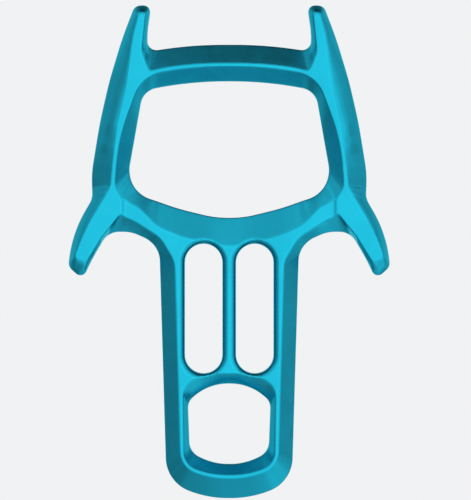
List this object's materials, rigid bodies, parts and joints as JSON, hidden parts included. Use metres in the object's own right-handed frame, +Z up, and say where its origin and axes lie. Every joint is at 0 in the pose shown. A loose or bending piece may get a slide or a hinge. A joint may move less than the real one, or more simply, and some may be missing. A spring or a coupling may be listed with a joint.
{
  "type": "figure eight descender",
  "caption": "Flat forged aluminium figure eight descender: a wide rope loop with horns and wings, twin rope slots in the stem and a small carabiner eye.",
  "frame": {"origin": "the point it hangs from: underside of the rope loop's top bar, on the centre line, at mid-thickness", "axes": "+Z up the centre line from the eye towards the horns, -Y out of the front face, +X to the right wing seen from the front"},
  "size_m": [0.0976, 0.012, 0.1499],
  "materials": {
    "anodised_aluminium": "satin"
  },
  "bodies": {
    "root": {"descender_body": "anodised_aluminium"}
  },
  "joints": []
}
